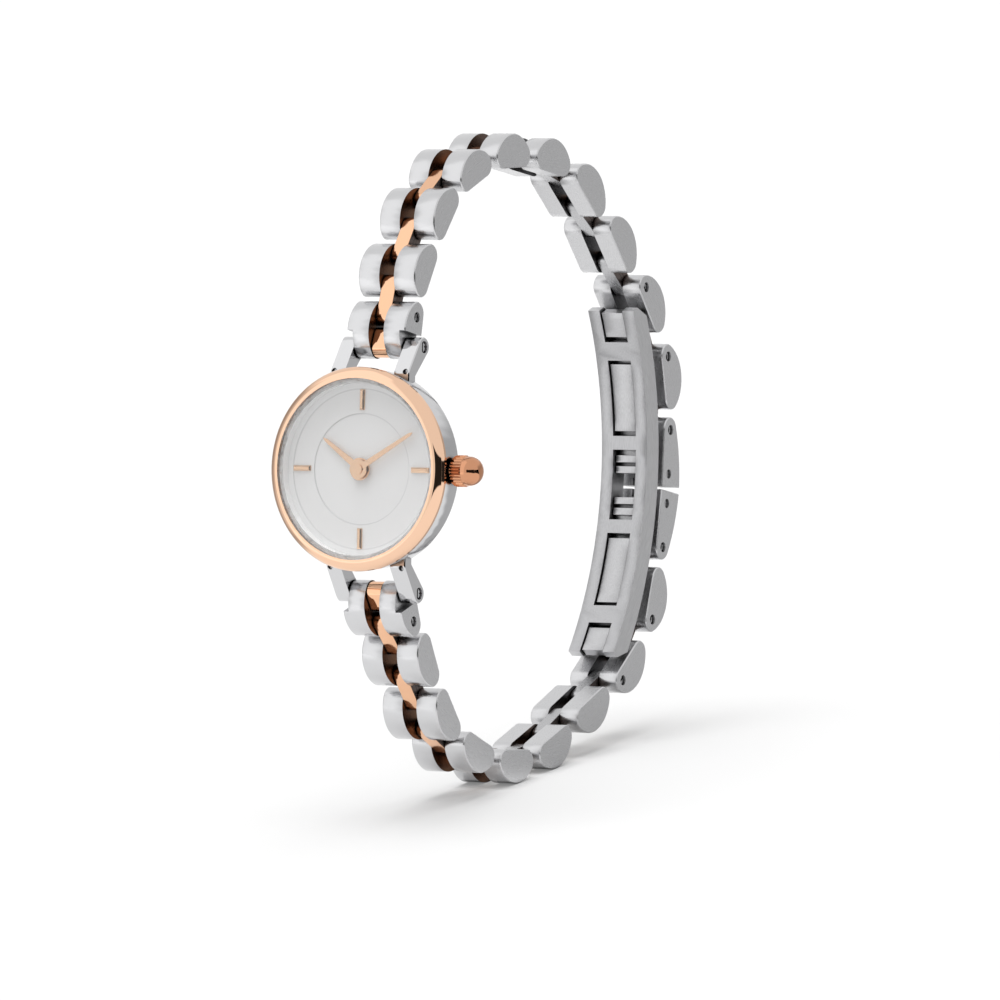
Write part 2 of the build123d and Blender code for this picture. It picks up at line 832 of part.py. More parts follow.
def clasp_base():
    """Curved frame with its slot, cross-bars and hinge pins, middle of the clasp at the origin."""
    half = base_width / 2
    slot = base_slot_width / 2
    band = clasp_band(0, base_depth, -base_arc_half, base_arc_half)
    frame = slab(band, slot, half) + slab(band, -half, -slot)
    corner = slab(base_corner(), -base_width, base_width)
    frame = frame - corner - mirror(corner, about=Plane.XY)
    for place, length in ((base_end_bar_place, base_end_bar_length), (base_mid_bar_place, base_mid_bar_length)):
        bar = slab(clasp_band(0, base_bar_depth, place - length / 2, place + length / 2), -slot, slot)
        frame = frame + bar + mirror(bar, about=Plane.XY)
    pins = []
    reach = half - hinge_pin_cover
    for place in (-base_hinge_place, base_hinge_place):
        spot = on_clasp(base_hinge_depth, place)
        frame = frame - Pos(*spot) * rod(hinge_pin_radius + press_clearance, -reach, reach)
        pins.append(Pos(*spot) * rod(hinge_pin_radius, -reach, reach))
    return [frame] + pins


def clasp_arm(side):
    """Folding arm: eye in the base, leaf in the slot, neck up to the bracelet pin."""
    half = arm_width / 2
    neck = arm_neck_width / 2
    reach = clasp_pin_span() / 2
    pin_y = side * reach * math.sin(math.radians(base_turn))
    pin_z = -reach * math.cos(math.radians(base_turn))
    eye = clasp_circle(base_hinge_depth, -base_hinge_place, arm_eye_radius)
    low = arm_depth_inset
    high = arm_depth_inset + arm_depth
    shoulder = clasp_circle((low + high) / 2, arm_eye_radius - base_hinge_place, arm_depth / 2)
    leaf = slab(clasp_band(low, high, -base_hinge_place, -arm_free_end), -half, half)
    knuckle = clasp_band(arm_knuckle_inset, base_hinge_depth, -base_hinge_place - arm_knuckle_half,
                         arm_knuckle_half - base_hinge_place)
    pad = clasp_band(arm_pad_inset, high, -arm_pad_end, -arm_pad_start)
    arm = leaf + slab(strap(eye, shoulder), -half, half) + slab(knuckle, -half, half) + slab(pad, -half, half)
    for start in arm_rib_starts:
        arm = arm + slab(clasp_band(arm_rib_inset, high, -start - arm_rib_length, -start), -half, half)
    foot = clasp_circle((low + high) / 2, -arm_free_end - arm_neck_radius, arm_neck_radius)
    arm = arm + slab(strap((pin_y, pin_z, arm_eye_radius), foot), -neck, neck)
    arm = arm - Pos(0, eye[0], eye[1]) * rod(hinge_pin_radius + arm_bore_clearance, -half - overrun,
                                             half + overrun)
    return arm - Pos(0, pin_y, pin_z) * rod(pin_radius + arm_bore_clearance, -half - overrun, half + overrun)


def head_nodes():
    """Pieces of the watch head by name."""
    return {"case_middle": [case_middle()], "bezel": [bezel()], "crystal": [crystal()],
            "crystal_gasket": [crystal_gasket()], "case_back": [case_back()],
            "case_back_gasket": [back_gasket()], "dial": [dial()], "hour_markers": hour_markers(),
            "movement": [movement()], "hour_hand": [hour_hand()], "minute_hand": [minute_hand()],
            "crown_tube": [crown_tube()], "crown": [crown()], "crown_stem": [crown_stem()],
            "lug_screws": lug_screws()}


def bracelet_nodes(angles, pins):
    """Rows, centre links and end centre pieces by name."""
    nodes = {}
    upper_lug = (0, lug_screw_z)
    lower_lug = (0, -lug_screw_z)
    for number in range(1, row_count + 1):
        angle = angles[number - 1]
        if number == 1:
            nodes["row_01"] = [set_at(piece, upper_lug, angle) for piece in end_row()]
        elif number == row_count:
            shaft = rod(lug_screw_radius, -end_knuckle_half_width, end_knuckle_half_width)
            pieces = lower_end(end_row()) + [shaft]
            nodes["row_%02d" % number] = [set_at(piece, lower_lug, angle) for piece in pieces]
        else:
            near = pins[number - 1][0]
            nodes["row_%02d" % number] = [set_at(piece, near, angle) for piece in row(number)]
        if number not in (upper_row_count, row_count):
            link = set_at(centre_link(number), pins[number - 1][1], link_angle(number, angles))
            nodes["centre_link_%02d" % number] = [link]
    nodes["end_centre_upper"] = [set_at(end_centre(), upper_lug, angles[0])]
    nodes["end_centre_lower"] = [set_at(lower_end([end_centre()])[0], lower_lug, angles[-1])]
    return nodes


def clasp_nodes(angles, pins):
    """Clasp base and its two arms by name."""
    middle, turn = clasp_place(angles, pins)
    return {"clasp_base": [set_at(piece, middle, turn) for piece in clasp_base()],
            "clasp_arm_upper": [set_at(clasp_arm(1), middle, turn)],
            "clasp_arm_lower": [set_at(mirror(clasp_arm(-1), about=Plane.XY), middle, turn)]}


def main():
    angles, pins, lean = bracelet_layout()
    nodes = head_nodes()
    nodes.update(bracelet_nodes(angles, pins))
    nodes.update(clasp_nodes(angles, pins))
    os.makedirs("parts", exist_ok=True)
    for name, solids in nodes.items():
        standing = [Rot(lean, 0, 0) * solid for solid in solids]
        shape = standing[0] if len(standing) == 1 else Compound(children=standing)
        export_step(shape, os.path.join("parts", name + ".step"))
        print(name, len(solids), round(sum(solid.volume for solid in standing), 2))
    print("lean", round(lean, 3), "nodes", len(nodes))


if __name__ == "__main__":
    main()
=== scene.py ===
import math

import bpy
from mathutils import Matrix, Vector


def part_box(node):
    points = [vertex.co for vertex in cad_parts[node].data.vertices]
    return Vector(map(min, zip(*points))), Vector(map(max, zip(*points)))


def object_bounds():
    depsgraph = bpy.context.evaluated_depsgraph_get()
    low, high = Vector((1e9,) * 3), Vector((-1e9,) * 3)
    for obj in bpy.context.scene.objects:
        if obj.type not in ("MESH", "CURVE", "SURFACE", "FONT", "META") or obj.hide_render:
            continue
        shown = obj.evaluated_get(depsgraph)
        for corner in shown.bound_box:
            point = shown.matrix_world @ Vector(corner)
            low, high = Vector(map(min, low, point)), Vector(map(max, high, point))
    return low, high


# The studio scene of the bracelet watch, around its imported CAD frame. Metres, +Z up.

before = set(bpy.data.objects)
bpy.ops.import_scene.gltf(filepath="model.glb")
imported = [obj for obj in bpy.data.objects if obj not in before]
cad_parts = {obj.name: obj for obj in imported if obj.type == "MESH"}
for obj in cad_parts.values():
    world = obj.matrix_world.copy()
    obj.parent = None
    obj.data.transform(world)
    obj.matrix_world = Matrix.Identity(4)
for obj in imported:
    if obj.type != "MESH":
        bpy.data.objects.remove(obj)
cad_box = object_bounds()

MM = 0.001
TO_MM = 1000.0

# The watch leans back on its bracelet, so what was read off the photograph in the
# watch's own frame turns by this angle about X.
WATCH_LEAN = math.radians(-10.767)

# The lean's axis, and what a vector is multiplied by to flatten it into the level plane
# or into the plane of the bracelet's loop.
X_AXIS = (1.0, 0.0, 0.0)
LEVEL_PLANE = (1.0, 1.0, 0.0)
LOOP_PLANE = (0.0, 1.0, 1.0)

# The photograph's view, and how many times nearer and farther than its target it sees.
VIEW_TURN = math.radians(31.5)
VIEW_ROLL = math.radians(1.2)
VIEW_TARGET = Vector((0.23, 21.81, -2.73)) * MM
VIEW_DISTANCE = 1.0224
VIEW_WIDTH = 99.75 * MM
SENSOR_WIDTH = 36.0
CLIP_RATIO = 10.0

# Rounded edges: width, steps and flattest corner, and how close points count as one.
EDGE_WIDTH = 0.045 * MM
EDGE_STEPS = 2
EDGE_ANGLE = math.radians(28.0)
WELD_DISTANCE = 0.001 * MM

# The floor: its side, its colour, its own light, and how bright metal sees it.
FLOOR_SIZE = 6.0
FLOOR_WHITE = 0.52
FLOOR_LIFT = 0.2
FLOOR_MIRRORED = 1.1
FLOOR_ROUGH = 0.9

# The world's brightness on matt surfaces and in metal.
AMBIENT = 0.8
REFLECTED = 0.95
WHITE = (1.0, 1.0, 1.0, 1.0)

# Lamps: place in the watch frame, side, power.
LAMPS = (
    ("key", (-0.35, -1.0, 2.9), 2.4, 56.0),
    ("top", (-0.2, 0.2, 3.2), 2.8, 48.0),
)

# What metal sees round the white studio: patches of the surroundings, each given by
# its middle azimuth and elevation, the half width and half height of its even part,
# the width of its soft edge, all in degrees, and what it adds to the brightness.
PATCHES = (
    (148.0, -25.0, 22.0, 41.0, 20.0, -0.43),  # a grey wall behind
    (42.0, 0.0, 34.0, 10.5, 1.5, -0.93),  # a dark strip beside the camera
    (98.0, 0.0, 20.0, 8.0, 1.5, -0.93),  # the strip's far end
    (-45.0, 25.0, 25.0, 40.0, 10.0, 0.3),  # a window on the left
    (-90.0, 0.0, 28.0, 22.0, 12.0, -0.55),  # a wall on the left
)

# Colours of the finishes, and of painted shade inside the bracelet and, darker yet, in
# crevices.
STEEL = (0.62, 0.62, 0.63, 1)
BRUSHED_STEEL = (0.54, 0.54, 0.55, 1)
LINK_STEEL = (0.50, 0.50, 0.51, 1)
# Darker copies of the clasp's steel on faces into the loop: painted shade.
CLASP_INSIDE_SHADE = (0.50, 0.50, 0.51, 1)
ARM_INSIDE_SHADE = (0.56, 0.56, 0.57, 1)
CLASP_SIDE = (0.66, 0.66, 0.67, 1)
# Painted shade in the bracelet's gaps and on the links' sides; it also gives the clasp's dark
# brushed streaks.
SHADE_AND_STREAK_STEEL = (0.12, 0.12, 0.125, 1)
# Painted shade in steel crevices.
CREVICE_SHADE_STEEL = (0.05, 0.05, 0.052, 1)
ROSE_GOLD = (0.86, 0.51, 0.32, 1)
BEZEL_GOLD = (0.86, 0.57, 0.40, 1)
# A darker copy of the rose gold for the crown: painted shade.
SHADED_CROWN_GOLD = (0.62, 0.30, 0.17, 1)
PALE_GOLD = (0.92, 0.63, 0.43, 1)
# Painted shade, tinted as a painted reflection of the gold.
GOLD_TINTED_SHADE = (0.15, 0.075, 0.04, 1)
# Painted shade in gold crevices.
CREVICE_SHADE_GOLD = (0.05, 0.02, 0.01, 1)
BRASS = (0.72, 0.55, 0.28, 1)
SILVERED = (0.93, 0.93, 0.93, 1)
NYLON = (0.93, 0.93, 0.93, 1)
RUBBER = (0.03, 0.03, 0.032, 1)
LACQUER = (0.88, 0.88, 0.88, 1)
LACQUER_GRAIN = (0.92, 0.92, 0.92, 1)
# Painted shade at the dial's steps.
DIAL_STEP_SHADE = (0.45, 0.45, 0.46, 1)

# Roughness of polished metal, where it is smoothest and where it is most worn, and the
# noise that leads from one to the other.
STEEL_GLOSS = (0.06, 0.1)
GOLD_GLOSS = (0.03, 0.06)
BEZEL_GLOSS = (0.03, 0.05)
CROWN_GLOSS = (0.04, 0.07)
PALE_GOLD_GLOSS = (0.12, 0.2)
BRASS_GLOSS = (0.2, 0.3)
WEAR_SCALE = 450.0
WEAR_DETAIL = 4.0
WEAR_RANGE = (0.35, 0.7)

# Brushed metal: its grain's noise and height, then for each finish the roughness, the
# grain's lines to the millimetre across, out of and along the loop, and its strength.
GRAIN_RANGE = (0.3, 0.7)
GRAIN_HEIGHT = 0.01 * MM
GRAIN_DETAIL = 3.0
ROW_BRUSHED = (0.26, 0.36)
ROW_POLISHED = 0.24
ROW_LINES = (18.0, 18.0, 0.8)
ROW_GRAIN = 0.25
LINK_BRUSHED = (0.24, 0.34)
LINK_POLISHED = 0.13
LINK_GRAIN = 0.1
CLASP_BRUSHED = (0.28, 0.4)
CLASP_LINES = (22.0, 22.0, 0.6)
CLASP_GRAIN = 0.4
BACK_TURNED = (0.25, 0.38)
BACK_RINGS = 9.0
BACK_GRAIN = 0.3

# The radius at which the grain's lines along the loop are measured, in millimetres.
LOOP_RADIUS = 30.0

# Streaks in the clasp's brushing: the range of the noise, and how dark they get.
STREAK_RANGE = (0.35, 0.65)
STREAK_SHARE = 0.22

# How far a surface faces out of the loop where one finish, or one painted shade, turns into the
# next.
ROW_POLISH_RANGE = (0.1, 0.4)
CLASP_SIDE_RANGE = (-0.7, -0.2)
PLATED_RANGE = (-0.06, 0.06)
# The centre links' colours, wrist side outward: steel, painted shade on their sides turning
# grey to brown, rose gold.
LINK_COLOURS = (
    (-0.75, -0.5, SHADE_AND_STREAK_STEEL),
    (-0.1, 0.15, GOLD_TINTED_SHADE),
    (0.4, 0.65, ROSE_GOLD),
)

# Painted shade in crevices: how far they are looked for in millimetres, with how many rays, and
# how open a place is where the painted shade is darkest and where it fades out to plain metal.
CREVICE_REACH = 0.7
CREVICE_SAMPLES = 12
OPEN_SHARES = (0.35, 0.85)

# The gap between a row's two blocks, which gets painted shade: its half width at the widest row
# and at the narrowest, how squarely its walls face across, and from how far behind to how far
# before the loop's middle the painted shade turns from grey steel to a painted reflection of
# gold. Lengths in millimetres.
GAP_HALF_WIDTHS = (0.89, 0.7)
WALL_FACING = 0.7
GAP_SHADE_FADE = 8.0

# The dial: radii of its steps, where lines of painted shade run, how far from them these lines
# start and end, both in millimetres, how much they show, its gloss and its grain.
DIAL_RINGS = (5.4, 7.8)
DIAL_STEP_SHADE_SPAN = (0.09, 0.03)
DIAL_STEP_SHADE_SHARE = 0.35
DIAL_ROUGH = 0.5
DIAL_SPECULAR = 0.4
DIAL_GRAIN_SCALE = 9000.0
DIAL_GRAIN_DETAIL = 2.0
DIAL_GRAIN_RANGE = (0.2, 0.8)
DIAL_GRAIN = 0.15

# Radii in millimetres where the bezel's gold ends and where its flange is all silver.
FLANGE_RANGE = (8.7, 8.6)

# The crystal, and the gaskets' roughness with its noise.
GLASS_IOR = 1.5
GASKET_ROUGH = (0.55, 0.75)
GASKET_SCALE = 3000.0
GASKET_DETAIL = 2.0


def in_world(vector):
    """A place or direction of the watch frame, turned with the lean."""
    return Matrix.Rotation(WATCH_LEAN, 4, "X") @ Vector(vector)


def add(tree, kind, inputs=None, **settings):
    """A shader node of that kind; an input given as a socket is linked, any other is set."""
    node = tree.nodes.new("ShaderNode" + kind)
    for key, value in settings.items():
        setattr(node, key, value)
    for key, value in (inputs or {}).items():
        if isinstance(value, bpy.types.NodeSocket):
            tree.links.new(value, node.inputs[key])
        else:
            node.inputs[key].default_value = value
    return node


def calc(tree, operation, *values):
    """The result socket of a Math node."""
    inputs = dict(enumerate(values))
    return add(tree, "Math", inputs, operation=operation).outputs[0]


def vector_calc(tree, operation, *values, result="Vector"):
    """A result socket of a Vector Math node."""
    inputs = dict(enumerate(values))
    return add(tree, "VectorMath", inputs, operation=operation).outputs[result]


def ramp(tree, value, start, end, low=0.0, high=1.0):
    """Runs smoothly from low to high as value goes from start to end."""
    inputs = {"Value": value, "From Min": start, "From Max": end, "To Min": low, "To Max": high}
    return add(tree, "MapRange", inputs, interpolation_type="SMOOTHSTEP").outputs["Result"]


def mix(tree, share, first, second, data_type="RGBA"):
    """Goes from the first colour or value to the second as share goes from 0 to 1."""
    inputs = {"Factor": share, "A": first, "B": second}
    return add(tree, "Mix", inputs, data_type=data_type).outputs["Result"]


def mix_shaders(tree, share, first, second):
    """Goes from the first shader to the second as share goes from 0 to 1."""
    return add(tree, "MixShader", {0: share, 1: first, 2: second}).outputs[0]


def parts_of(tree, vector):
    """The X, Y and Z sockets of a vector."""
    return add(tree, "SeparateXYZ", {"Vector": vector}).outputs


def place_on(tree):
    """The place of a point of a piece at rest, which the piece keeps at any pose."""
    return add(tree, "TexCoord").outputs["Object"]


def in_watch_frame(tree, vector):
    """A place or direction of the world, with the lean turned back."""
    turn = {"Vector": vector, "Axis": X_AXIS, "Angle": -WATCH_LEAN}
    return add(tree, "VectorRotate", turn).outputs["Vector"]


def reflected_ray(tree):
    """1 for what metal or glass shows, otherwise 0."""
    path = add(tree, "LightPath").outputs
    return calc(tree, "MAXIMUM", path["Is Glossy Ray"], path["Is Transmission Ray"])


def new_material(name, metallic=0.0):
    """A material with its Principled shader: (material, node tree, shader)."""
    material = bpy.data.materials.new(name)
    material.use_nodes = True
    shader = material.node_tree.nodes["Principled BSDF"]
    shader.inputs["Metallic"].default_value = metallic
    return material, material.node_tree, shader


def make_camera():
    """The photograph's view: level in the watch frame, turned to the crown's side."""
    back = in_world((math.sin(VIEW_TURN), -math.cos(VIEW_TURN), 0.0))
    up = Matrix.Rotation(VIEW_ROLL, 4, back) @ in_world((0.0, 0.0, 1.0))
    right = up.cross(back)
    data = bpy.data.cameras.new("camera")
    data.sensor_width = SENSOR_WIDTH
    data.lens = SENSOR_WIDTH * VIEW_DISTANCE / VIEW_WIDTH
    data.clip_start = VIEW_DISTANCE / CLIP_RATIO
    data.clip_end = VIEW_DISTANCE * CLIP_RATIO
    camera = bpy.data.objects.new("camera", data)
    place = Matrix((right, up, back)).transposed().to_4x4()
    place.translation = in_world(VIEW_TARGET) + VIEW_DISTANCE * back
    camera.matrix_world = place
    bpy.context.scene.collection.objects.link(camera)
    bpy.context.scene.camera = camera


def patch(tree, direction, azimuth, elevation, half_width, half_height, soft):
    """How much a direction lies in a patch of the surroundings, from 0 to 1."""
    turn = math.radians(azimuth)
    middle = (math.sin(turn), -math.cos(turn), 0.0)
    flat = vector_calc(tree, "MULTIPLY", direction, LEVEL_PLANE)
    flat = vector_calc(tree, "NORMALIZE", flat)
    beside = vector_calc(tree, "DOT_PRODUCT", flat, middle, result="Value")
    edge = math.cos(math.radians(half_width + soft))
    across = ramp(tree, beside, edge, math.cos(math.radians(half_width)))
    height = calc(tree, "DEGREES", calc(tree, "ARCSINE", parts_of(tree, direction)["Z"]))
    away = calc(tree, "ABSOLUTE", calc(tree, "SUBTRACT", height, elevation))
    upright = ramp(tree, away, half_height + soft, half_height)
    return calc(tree, "MULTIPLY", across, upright)


def studio(tree, direction):
    """How bright metal sees the studio in a direction of the world."""
    direction = in_watch_frame(tree, direction)
    shine = REFLECTED
    for azimuth, elevation, half_width, half_height, soft, gain in PATCHES:
        part = patch(tree, direction, azimuth, elevation, half_width, half_height, soft)
        shine = calc(tree, "MULTIPLY_ADD", part, gain, shine)
    return shine


def background(tree, strength):
    """The shader of a white background of that strength."""
    return add(tree, "Background", {"Color": WHITE, "Strength": strength}).outputs[0]


def make_world():
    """White to the camera; even light on matt surfaces; white with soft patches in metal."""
    world = bpy.data.worlds.new("studio")
    world.use_nodes = True
    bpy.context.scene.world = world
    tree = world.node_tree
    tree.nodes.clear()
    shine = studio(tree, add(tree, "TexCoord").outputs["Generated"])
    ambient, mirrored = background(tree, AMBIENT), background(tree, shine)
    lit = mix_shaders(tree, reflected_ray(tree), ambient, mirrored)
    camera_ray = add(tree, "LightPath").outputs["Is Camera Ray"]
    seen = mix_shaders(tree, camera_ray, lit, background(tree, 1.0))
    add(tree, "OutputWorld", {"Surface": seen}).is_active_output = True


def make_lamps():
    """Large soft lamps that give the matt surfaces their slight shading."""
    target = in_world(VIEW_TARGET)
    for name, place, size, power in LAMPS:
        data = bpy.data.lights.new(name, "AREA")
        data.size = size
        data.energy = power
        lamp = bpy.data.objects.new(name, data)
        lamp.location = in_world(place)
        lamp.rotation_mode = "QUATERNION"
        lamp.rotation_quaternion = (target - lamp.location).to_track_quat("-Z", "Y")
        lamp.visible_camera = False
        lamp.visible_glossy = False
        bpy.context.scene.collection.objects.link(lamp)


def floor_white():
    """White that its own light lifts to the background's; metal sees the studio in it."""
    material, tree, shader = new_material("floor_white")
    shader.inputs["Roughness"].default_value = FLOOR_ROUGH
    shader.inputs["Specular IOR Level"].default_value = 0.0
    shader.inputs["Emission Color"].default_value = WHITE
    position = add(tree, "NewGeometry").outputs["Position"]
    spoke = vector_calc(tree, "SUBTRACT", position, tuple(in_world(VIEW_TARGET)))
    shine = studio(tree, vector_calc(tree, "NORMALIZE", spoke))
    shine = calc(tree, "MULTIPLY", shine, FLOOR_MIRRORED)
    reflected = reflected_ray(tree)
    shine = mix(tree, reflected, 1.0, shine, data_type="FLOAT")
    tone = calc(tree, "MULTIPLY", shine, FLOOR_WHITE)
    tree.links.new(tone, shader.inputs["Base Color"])
    camera_ray = add(tree, "LightPath").outputs["Is Camera Ray"]
    seen = calc(tree, "MAXIMUM", camera_ray, reflected)
    lift = calc(tree, "MULTIPLY", calc(tree, "MULTIPLY", seen, FLOOR_LIFT), shine)
    tree.links.new(lift, shader.inputs["Emission Strength"])
    return material


def make_floor():
    """A plain white floor under the watch."""
    half = FLOOR_SIZE / 2
    level = cad_box[0].z
    flat = ((-half, -half), (half, -half), (half, half), (-half, half))
    corners = [(x, y, level) for x, y in flat]
    mesh = bpy.data.meshes.new("floor")
    mesh.from_pydata(corners, [], [(0, 1, 2, 3)])
    mesh.materials.append(floor_white())
    floor = bpy.data.objects.new("floor", mesh)
    bpy.context.scene.collection.objects.link(floor)


def loop_middle():
    """The middle of the bracelet's loop, from its rows."""
    boxes = [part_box(name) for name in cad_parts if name.startswith("row_")]
    middles = [(low + high) / 2 for low, high in boxes]
    middle = sum(middles, Vector()) / len(middles)
    return Vector((0.0, middle.y, middle.z))


def outwardness(tree, middle):
    """Cosine between the surface and the way out of the closed loop; moves with the piece."""
    coordinates = add(tree, "TexCoord").outputs
    spoke = vector_calc(tree, "SUBTRACT", coordinates["Object"], middle)
    spoke = vector_calc(tree, "MULTIPLY", spoke, LOOP_PLANE)
    spoke = vector_calc(tree, "NORMALIZE", spoke)
    return vector_calc(tree, "DOT_PRODUCT", coordinates["Normal"], spoke, result="Value")


def along_loop(tree, middle):
    """Coordinates in millimetres across, out of and along the loop, for brushed grain."""
    spoke = vector_calc(tree, "SUBTRACT", place_on(tree), middle)
    parts = parts_of(tree, spoke)
    flat = vector_calc(tree, "MULTIPLY", spoke, LOOP_PLANE)
    radius = vector_calc(tree, "LENGTH", flat, result="Value")
    turn = calc(tree, "ARCTAN2", parts["Z"], parts["Y"])
    length = calc(tree, "MULTIPLY", turn, LOOP_RADIUS)
    across = calc(tree, "MULTIPLY", parts["X"], TO_MM)
    out = calc(tree, "MULTIPLY", radius, TO_MM)
    return add(tree, "CombineXYZ", {"X": across, "Y": out, "Z": length}).outputs["Vector"]


def from_dial_axis(tree):
    """Distance from the dial's axis in millimetres."""
    place = in_watch_frame(tree, place_on(tree))
    flat = vector_calc(tree, "MULTIPLY", place, (TO_MM, 0.0, TO_MM))
    return vector_calc(tree, "LENGTH", flat, result="Value")


def crevice_shade(tree, colour, dark):
    """Paints shade into a metal's colour in narrow gaps and recesses, where it mirrors only
    itself.
    """
    inputs = {"Distance": CREVICE_REACH * MM}
    look = add(tree, "AmbientOcclusion", inputs, samples=CREVICE_SAMPLES)
    return mix(tree, ramp(tree, look.outputs["AO"], *OPEN_SHARES), dark, colour)


def in_gap(tree):
    """Share of a row's surface that faces the gap between its blocks, pins included; it gets
    painted shade.
    """
    coordinates = add(tree, "TexCoord").outputs
    across = calc(tree, "ABSOLUTE", parts_of(tree, coordinates["Object"])["X"])
    facing = calc(tree, "ABSOLUTE", parts_of(tree, coordinates["Normal"])["X"])
    widest, narrowest = GAP_HALF_WIDTHS
    wall = calc(tree, "GREATER_THAN", facing, WALL_FACING)
    wall = calc(tree, "MULTIPLY", wall, calc(tree, "LESS_THAN", across, widest * MM))
    return calc(tree, "MAXIMUM", wall, calc(tree, "LESS_THAN", across, narrowest * MM))


def noise_over(tree, vector, scale, detail):
    """The value of a noise texture over that vector."""
    inputs = {"Vector": vector, "Scale": scale, "Detail": detail}
    return add(tree, "TexNoise", inputs).outputs["Fac"]


def bump_up(tree, shader, height, strength):
    """Bumps the surface by that height."""
    inputs = {"Height": height, "Strength": strength, "Distance": GRAIN_HEIGHT}
    normal = add(tree, "Bump", inputs).outputs["Normal"]
    tree.links.new(normal, shader.inputs["Normal"])


def grain(tree, vector, stretch, strength, shader):
    """Fine brushed lines: a stretched noise that bumps the surface. Returns the noise."""
    lines = vector_calc(tree, "MULTIPLY", vector, stretch)
    noise = noise_over(tree, lines, 1.0, GRAIN_DETAIL)
    bump_up(tree, shader, noise, strength)
    return noise


def polished(name, colour, gloss, dark=None):
    """Polished metal whose gloss varies a little, as handling leaves it; given a shade colour,
    painted shade darkens its crevices.
    """
    material, tree, shader = new_material(name, metallic=1.0)
    shader.inputs["Base Color"].default_value = colour
    if dark:
        tree.links.new(crevice_shade(tree, colour, dark), shader.inputs["Base Color"])
    noise = noise_over(tree, place_on(tree), WEAR_SCALE, WEAR_DETAIL)
    tree.links.new(ramp(tree, noise, *WEAR_RANGE, *gloss), shader.inputs["Roughness"])
    return material


def row_steel(middle):
    """Bracelet steel: satin outside, finely brushed sides and inside; painted shade between
    blocks, gold-tinted in front as a painted reflection, and in crevices.
    """
    material, tree, shader = new_material("row_steel", metallic=1.0)
    depth = parts_of(tree, place_on(tree))["Y"]
    # Painted shade between the blocks: grey at the back, a painted reflection of gold in front.
    gold_tint_share = ramp(tree, depth, middle.y + GAP_SHADE_FADE * MM, middle.y - GAP_SHADE_FADE * MM)
    gap_shade = mix(tree, gold_tint_share, SHADE_AND_STREAK_STEEL, GOLD_TINTED_SHADE)
    colour = mix(tree, in_gap(tree), STEEL, gap_shade)
    tree.links.new(crevice_shade(tree, colour, CREVICE_SHADE_STEEL), shader.inputs["Base Color"])
    noise = grain(tree, along_loop(tree, middle), ROW_LINES, ROW_GRAIN, shader)
    brushed = ramp(tree, noise, *GRAIN_RANGE, *ROW_BRUSHED)
    outside = ramp(tree, outwardness(tree, middle), *ROW_POLISH_RANGE)
    rough = mix(tree, outside, brushed, ROW_POLISHED, data_type="FLOAT")
    tree.links.new(rough, shader.inputs["Roughness"])
    return material


def link_metal(middle):
    """Centre links: rose gold outside, painted shade on their sides, steel on the side against
    the wrist, painted shade in crevices.
    """
    material, tree, shader = new_material("link_metal", metallic=1.0)
    outward = outwardness(tree, middle)
    colour = LINK_STEEL
    # The middle bands are painted shade on the links' sides.
    for start, end, after in LINK_COLOURS:
        colour = mix(tree, ramp(tree, outward, start, end), colour, after)
    tree.links.new(crevice_shade(tree, colour, CREVICE_SHADE_GOLD), shader.inputs["Base Color"])
    noise = grain(tree, along_loop(tree, middle), ROW_LINES, LINK_GRAIN, shader)
    brushed = ramp(tree, noise, *GRAIN_RANGE, *LINK_BRUSHED)
    plated = ramp(tree, outward, *PLATED_RANGE)
    rough = mix(tree, plated, brushed, LINK_POLISHED, data_type="FLOAT")
    tree.links.new(rough, shader.inputs["Roughness"])
    return material


def clasp_steel(name, middle, inside):
    """Clasp steel, brushed along its length all over; a darker copy on faces into the loop as
    painted shade, and painted shade in crevices.
    """
    material, tree, shader = new_material(name, metallic=1.0)
    noise = grain(tree, along_loop(tree, middle), CLASP_LINES, CLASP_GRAIN, shader)
    # Faces into the loop take the darker copy: painted shade.
    share = ramp(tree, outwardness(tree, middle), *CLASP_SIDE_RANGE)
    colour = mix(tree, share, inside, CLASP_SIDE)
    streaks = ramp(tree, noise, *STREAK_RANGE, STREAK_SHARE, 0.0)
    colour = mix(tree, streaks, colour, SHADE_AND_STREAK_STEEL)
    tree.links.new(crevice_shade(tree, colour, CREVICE_SHADE_STEEL), shader.inputs["Base Color"])
    rough = ramp(tree, noise, *GRAIN_RANGE, *CLASP_BRUSHED)
    tree.links.new(rough, shader.inputs["Roughness"])
    return material


def case_back_steel():
    """Case back, turned: fine rings round its middle."""
    material, tree, shader = new_material("case_back_steel", metallic=1.0)
    shader.inputs["Base Color"].default_value = BRUSHED_STEEL
    radius = calc(tree, "MULTIPLY", from_dial_axis(tree), BACK_RINGS)
    rings = add(tree, "CombineXYZ", {"X": radius}).outputs["Vector"]
    noise = grain(tree, rings, (1.0, 1.0, 1.0), BACK_GRAIN, shader)
    rough = ramp(tree, noise, *GRAIN_RANGE, *BACK_TURNED)
    tree.links.new(rough, shader.inputs["Roughness"])
    return material


